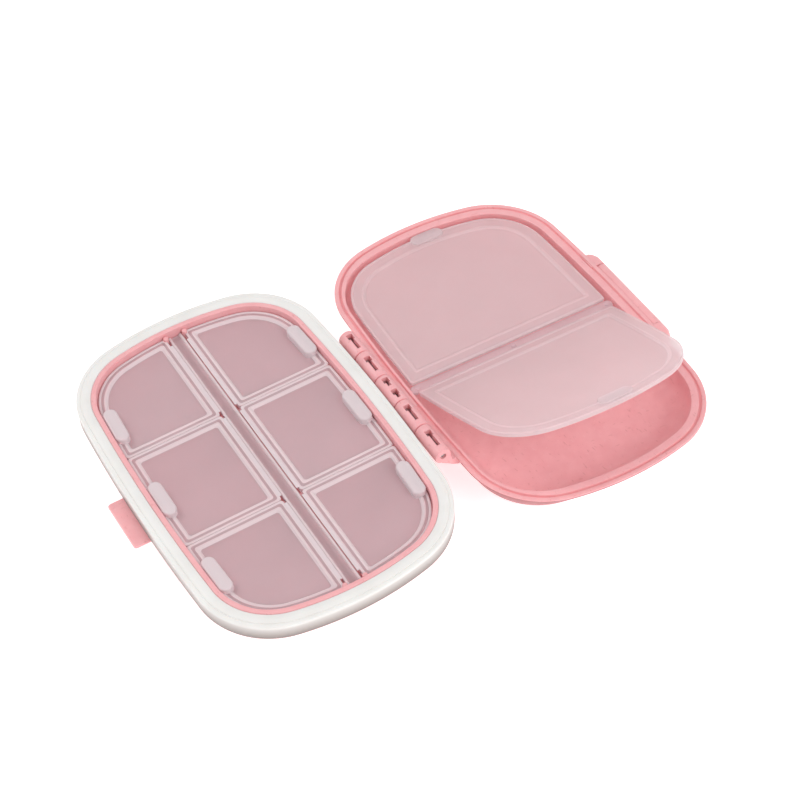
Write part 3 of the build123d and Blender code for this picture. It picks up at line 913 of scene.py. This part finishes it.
def base_lid(side, row):
    """One frosted lid with its finger tab."""
    bottom = LEDGE_Z + 0.05
    cell = Cell(side, row, LIP_INSET + 0.35, 3.05, 0.08, 0.8)
    solid = framed_leaf(cell.loop, bottom, 1.0, 0.75, 2.9)
    middle = LID_TAB_ROWS[row] + LID_TAB_SHIFT
    bow = middle**2 / (2 * SIDE_RADIUS)
    x = side * (BASE_HALF_WIDTH - LIP_INSET - 0.3 - bow - TAB_WIDTH / 2)

    def tab_loop(shrink):
        return slot_loop(0, 0, LID_TAB_LENGTH, TAB_WIDTH, shrink)

    tab = soft_pad(tab_loop, bottom + 0.2, BASE_TOP - 0.4, 0.6, 0.2)
    lean = asin(side * middle / SIDE_RADIUS)
    solid.add(tab, Matrix.Translation((x, middle, 0)) @ Matrix.Rotation(lean, 4, "Z"))
    return solid


def lid_web(side, row):
    """Thin living hinge between the spine rail and a lid."""
    low = (ROW_Y + 1.5, -ROW_Y + 1.5, -51.0)[row]
    high = (51.0, ROW_Y - 1.5, -ROW_Y - 1.5)[row]
    top = LEDGE_Z + 1.8
    near, far = side * 2.35, side * 3.35
    section = [(near, top - 0.38), (near, top - 0.06), (far, top - 0.02), (far, top - 0.38)]
    return bar(section, low, high, 0.1)


# ---------------------------------------------------------------- cover


def cover_matrix():
    axis = JOINTS["far_flap_hinge"]["axis"]
    tilt = atan2(-axis[2], axis[0])
    hinge = Matrix.Translation((HINGE_X, 0, HINGE_Z))
    return hinge @ Matrix.Rotation(tilt, 4, "Y") @ Matrix.Translation((HINGE_X, 0, -RIM_DROP))


def cover_body():
    """Dish with a rolled rim, a seal groove and one deep well; the rim is narrower by the hinge."""
    bottom = -COVER_DEPTH
    dish = arc((COVER_WALL_INSET + COVER_ROUND, bottom + COVER_ROUND), COVER_ROUND, 270, 180, 14)
    dish.append((COVER_WALL_INSET, -2.0))
    corners = [(1.8, -2.0), (1.1, -2.0), (1.1, -0.9), (0.0, -0.9), (0.0, 0.0)]
    corners += [(1.3, 0.0), (1.45, -0.8), (2.05, -0.8), (2.2, 0.0), (2.45, 0.0)]
    rim = round_corners(corners, [0, 0.3, 0.1, 0.25, 0.28, 0.18, 0.12, 0.12, 0.15, 0], 4)
    mouth = [(WELL_INSET - 0.35, 0.0), (WELL_INSET, -0.03), (WELL_INSET, -1.2)]
    well = round_corners(mouth, [0, 0.25, 0], 4)
    floor = bottom + 1.5
    for angle in range(0, 91, 6):
        turn = radians(angle)
        inset = WELL_INSET + WELL_ROUND - WELL_ROUND * cos(turn)
        well.append((inset, floor + WELL_ROUND - WELL_ROUND * sin(turn)))
    shift = Vector((RIM_TRIM / 2, 0))
    loops = [lift(COVER.loop(inset), z) for inset, z in dish]
    loops += [lift([p + shift for p in RIM.loop(inset)], z) for inset, z in rim]
    loops += [lift(COVER.loop(inset), z) for inset, z in well]
    solid = Solid()
    solid.loft(loops)
    return solid


def divider():
    """Low wall between the two wells; its ends stop inside the dish's wall and follow its round."""
    half = DIVIDER_HALF_WIDTH
    corners = [(-half, -9.7), (-half, DIVIDER_TOP), (half, DIVIDER_TOP), (half, -9.7)]
    section = round_corners(corners, [0, 0.3, 0.3, 0], 4, closed=True)
    wall = Solid()
    wall.add(bar(section, -38.0, 38.0, 0.05), Matrix.Rotation(radians(90), 4, "Z"))
    within = arc((11.6, -2.15), 7.8, 270, 180, 14) + [(3.8, -1.0)]
    dish = Solid()
    dish.loft([lift(COVER.loop(inset), z) for inset, z in within])
    return cut(wall, [dish], "INTERSECT")


def latch_ears():
    """Two ears with rounded backs that taper away from the lever."""
    ears = Solid()
    ends = ((15.15, 1.0), (15.35, 1.0), (18.5, 0.98), (20.2, 0.72), (20.9, 0.45), (21.15, 0.3))
    for side in (-1, 1):
        loops = []
        for y, reach in ends:
            x = LATCH_X - LATCH_RADIUS * (1 - reach)
            radius = LATCH_RADIUS * (0.55 + 0.45 * reach) if y < ends[-1][0] else 1.2
            section = arc((x, LATCH_Z), radius, -90, 90, 14)
            section += [(38.6, LATCH_Z + radius), (38.2, LATCH_Z - radius)]
            loops.append([(p[0], side * y, p[1]) for p in section])
        ears.loft(loops)
    return ears


def cover_shell():
    """Dish with its divider, tab shelves, hinge knuckles and latch ears."""
    solid = cover_body()
    solid.add(divider())
    for side in (-1, 1):
        y = side * (COVER_HALF_LENGTH - WELL_INSET - 0.9)
        low = (-1.6, min(y, y + side * 1.2), -3.1)
        high = (6.4, max(y, y + side * 1.2), -2.1)
        solid.add(box_solid(low, high))
    for index in (0, 2, 4):
        solid.add(knuckle(index, COVER_WEB, 0.96), Matrix.Translation((-HINGE_X, 0, RIM_DROP)))
    notch = bar(circle(LATCH_X, LATCH_Z, LATCH_RADIUS + 0.25), -15.15, 15.15, 0.02)
    shell = cut(solid, [notch])
    shell.add(latch_ears())
    return shell


def flap_loop(side, start, inset):
    """Plan of a cover leaf: straight along the divider, then round the outline."""

    def loop_at(shrink):
        reach = inset + shrink
        low = COVER.angle_at(1, start + shrink, reach)
        run = COVER.run(low, pi - low, reach, 170)
        path = round_path(run, [run[-1], run[0]], 0.6)
        return [Vector((p.x, side * p.y)) for p in path]

    return loop_at


def flap(side):
    """Cover leaf with its finger tab; the near one's tab sits further in from the rim."""
    solid = framed_leaf(flap_loop(side, 1.9, FLAP_INSET), FLAP_BOTTOM, 0.8, 0.6, 4.6)
    setback = 2.5 if side == 1 else 5.5
    y = side * (COVER_HALF_LENGTH - WELL_INSET - setback)

    def tab_loop(shrink):
        return slot_loop(0, 0, FLAP_TAB_LENGTH, TAB_WIDTH, shrink)

    tab = soft_pad(tab_loop, FLAP_BOTTOM + 0.15, -0.1, 0.4, 0.15)
    solid.add(tab, Matrix.Translation((FLAP_TAB_X, y, 0)) @ Matrix.Rotation(radians(90), 4, "Z"))
    return solid


def flap_spine():
    """Strip on the divider with three weld heads."""
    reach = COVER_HALF_WIDTH - WELL_INSET - 0.3

    def loop_at(shrink):
        return slot_loop(0, 0, 2 * reach, 3.1, shrink)

    strip = soft_pad(loop_at, -1.9, -1.1, 0.3)
    for y in (2.2 - reach, 0.0, reach - 2.2):

        def head_at(shrink, y=y):
            return circle(0, y, 0.75 - shrink, 24)

        strip.add(soft_pad(head_at, -1.2, -0.75, 0.25))
    result = Solid()
    return result.add(strip, Matrix.Rotation(radians(90), 4, "Z"))


def flap_web(side):
    """Thin living hinge between the strip and a cover leaf."""
    low, high = sorted((side * 1.6, side * 2.5))
    corners = [(low, -0.52), (low, -0.2), (high, -0.2), (high, -0.52)]
    section = round_corners(corners, 0.1, 3, closed=True)
    reach = COVER_HALF_WIDTH - FLAP_INSET - 4.0
    thread = bar(section, -reach, reach, 0.1)
    result = Solid()
    return result.add(thread, Matrix.Rotation(radians(90), 4, "Z"))


def near_matrix():
    """The near leaf stands ajar about its hinge line."""
    turn = Matrix.Rotation(radians(-FLAP_AJAR), 4, "X")
    return Matrix.Translation(FLAP_PIVOT) @ turn @ Matrix.Translation(-FLAP_PIVOT)


def latch_lever():
    """Barrel and plate with a window, drawn locked, then folded back under the rim."""
    half = LATCH_HALF_LENGTH
    barrel = bar(circle(0, 0, LATCH_RADIUS), -half, half, 0.3)
    corners = [(-0.75, 0.0), (-0.75, 9.9), (0.75, 9.9), (0.75, 0.0)]
    plate = bar(round_corners(corners, [0, 0.5, 0.5, 0], 4, closed=True), -half, half, 0.5)
    body = cut(barrel, [plate], "UNION")
    reach = CATCH_HALF_LENGTH + 0.5
    window = box_solid((-3, -reach, 6.8), (3, reach, 8.9))
    bore = bar(circle(0, 0, 0.81, 32), -half - 1, half + 1)
    lever = cut(body, [window, bore])
    fold = Matrix.Translation((LATCH_X, 0, LATCH_Z)) @ Matrix.Rotation(radians(LATCH_FOLD), 4, "Y")
    result = Solid()
    return result.add(lever, fold)


# ---------------------------------------------------------------- build


def build():
    pink = pink_plastic("pink_plastic")
    # Pink copy with painted shade for the cover's outside below its rim.
    painted_shade = pink_plastic("pink_painted_rim_shade", True)
    ring = silicone()
    frost = frosted_plastic("frosted_panel", 0.46, 0.63, (0.96, 0.80, 0.845))
    leaf = frosted_plastic("frosted_leaf", 0.48, 0.62, (0.99, 0.865, 0.89))
    # Paler, denser frosting: painted highlight on frame beads and spine rails, and the tabs' whiter
    # thick plastic.
    edge = frosted_plastic("frosted_highlight_and_tab", 0.72, 0.88, (1.0, 0.89, 0.915))
    soft_highlight_and_tab = frosted_plastic("frosted_soft_highlight_and_tab", 0.54, 0.70, (0.99, 0.865, 0.89))
    metal = steel()
    on_cover = cover_matrix()
    flat = Matrix.Identity(4)

    place("base_case", base_shell().mesh("base_case", flat), "base", pink, "pink_plastic", "base_shell")
    place("seal", seal_ring().mesh("seal", flat, 40), "base", ring, "seal", "seal_ring")
    mesh = lid_spine().mesh("spine_strip", flat)
    mark_edges(mesh, flat, LEDGE_Z + 0.85, LEDGE_Z + 1.3, frost, edge)
    place("spine_strip", mesh, "base", None, "frosted", "lid_spine")
    for column, side in (("left", -1), ("right", 1)):
        for row, row_name in enumerate(("far", "middle", "near")):
            name = f"lid_{column}_{row_name}"
            solid = base_lid(side, row)
            mesh = solid.add(lid_web(side, row)).mesh(name, flat)
            mark_edges(mesh, flat, LEDGE_Z + 1.13, LEDGE_Z + 1.74, frost, edge)
            place(f"leaf_{column}_{row_name}", mesh, f"{name}_body", None, "frosted", name)

    mesh = cover_shell().mesh("cover_case", on_cover)
    mark_band(mesh, on_cover, pink, painted_shade)
    place("cover_case", mesh, "cover", None, "pink_plastic", "cover_shell")
    mesh = flap_spine().mesh("cover_strip", on_cover)
    place("cover_strip", mesh, "cover", frost, "frosted", "flap_spine")
    ajar = on_cover @ near_matrix()
    for side, row_name, where in ((1, "far", on_cover), (-1, "near", ajar)):
        solid = flap(side).add(flap_web(side))
        mesh = solid.mesh(f"leaf_{row_name}", where)
        mark_edges(mesh, where, -0.82, -0.36, leaf, soft_highlight_and_tab)
        place(f"leaf_{row_name}", mesh, f"{row_name}_flap", None, "frosted", f"flap_{row_name}")
    place("latch", latch_lever().mesh("latch", on_cover), "latch", pink, "pink_plastic", "latch_lever")
    for node in ("hinge_pin", "latch_pin"):
        item = frame["nodes"][node]
        item.data.materials.clear()
        item.data.materials.append(metal)


add_camera()
add_studio()
build()
